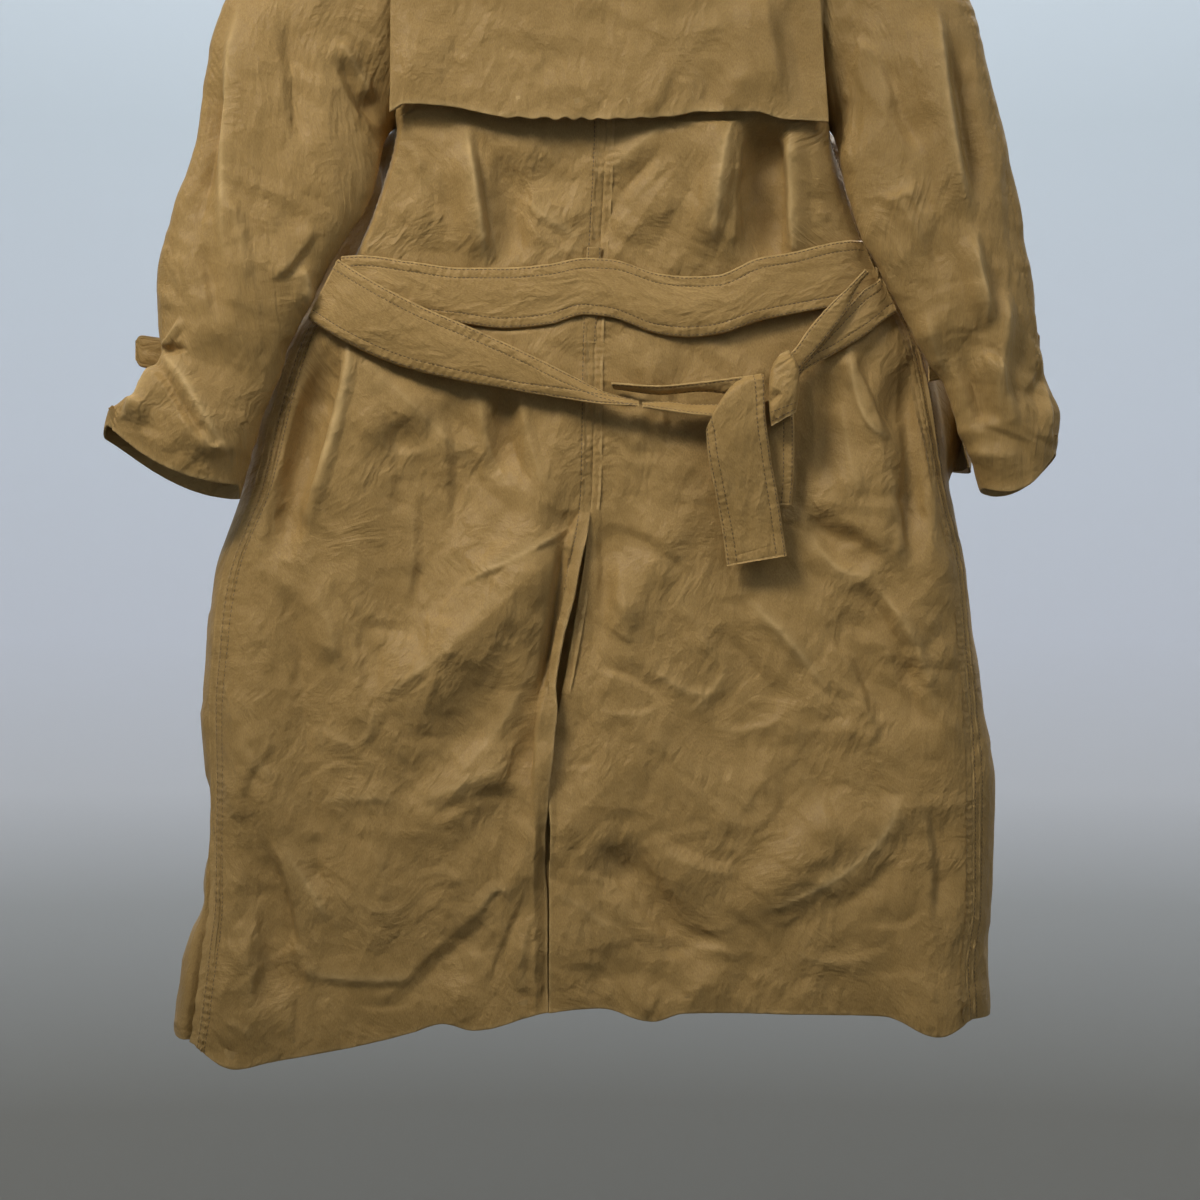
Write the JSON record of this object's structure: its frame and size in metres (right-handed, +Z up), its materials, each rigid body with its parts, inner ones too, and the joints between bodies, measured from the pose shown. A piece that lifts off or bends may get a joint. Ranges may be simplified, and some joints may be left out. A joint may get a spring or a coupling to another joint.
{
  "type": "trench coat on a hanger",
  "caption": "Mid-length tan trench coat hanging flat on a plain hanger, its own belt threaded across the back and tied in a loose knot.",
  "frame": {"origin": "inside top of the hanger's hook, where it rests on a rail; the coat hangs below it", "axes": "+Z up; the coat's back faces -Y and its front +Y; -X is the wearer's left"},
  "size_m": [0.7629, 0.1421, 1.151],
  "materials": {
    "coat_cloth": "closely woven tan twill with a slight sheen",
    "belt_cloth": "the same twill, doubled and stitched flat",
    "buttons": "polished brown",
    "hanger_wood": "varnished",
    "hook_steel": "bright wire"
  },
  "bodies": {
    "root": {"back_left": "coat_cloth", "back_right": "coat_cloth", "front_left": "coat_cloth", "front_right": "coat_cloth", "vent_underlay": "coat_cloth", "storm_flap": "coat_cloth", "sleeve_left_back": "coat_cloth", "sleeve_left_front": "coat_cloth", "sleeve_right_back": "coat_cloth", "sleeve_right_front": "coat_cloth", "strap_left": "coat_cloth", "strap_right": "coat_cloth", "collar_stand": "coat_cloth", "collar_fall": "coat_cloth", "lapel_left": "coat_cloth", "lapel_right": "coat_cloth", "welt_left": "coat_cloth", "welt_right": "coat_cloth", "carrier_centre": "coat_cloth", "belt_back": "belt_cloth", "belt_left_pass": "belt_cloth", "belt_upper_strip": "belt_cloth", "belt_lower_strip": "belt_cloth", "belt_knot": "belt_cloth", "belt_main_end": "belt_cloth", "belt_rear_end": "belt_cloth", "belt_right_narrow": "belt_cloth", "belt_right_wide": "belt_cloth", "button_1": "buttons", "button_2": "buttons", "button_3": "buttons", "button_4": "buttons", "button_5": "buttons", "button_6": "buttons", "hanger_bar": "hanger_wood", "hanger_hook": "hook_steel"}
  },
  "joints": []
}
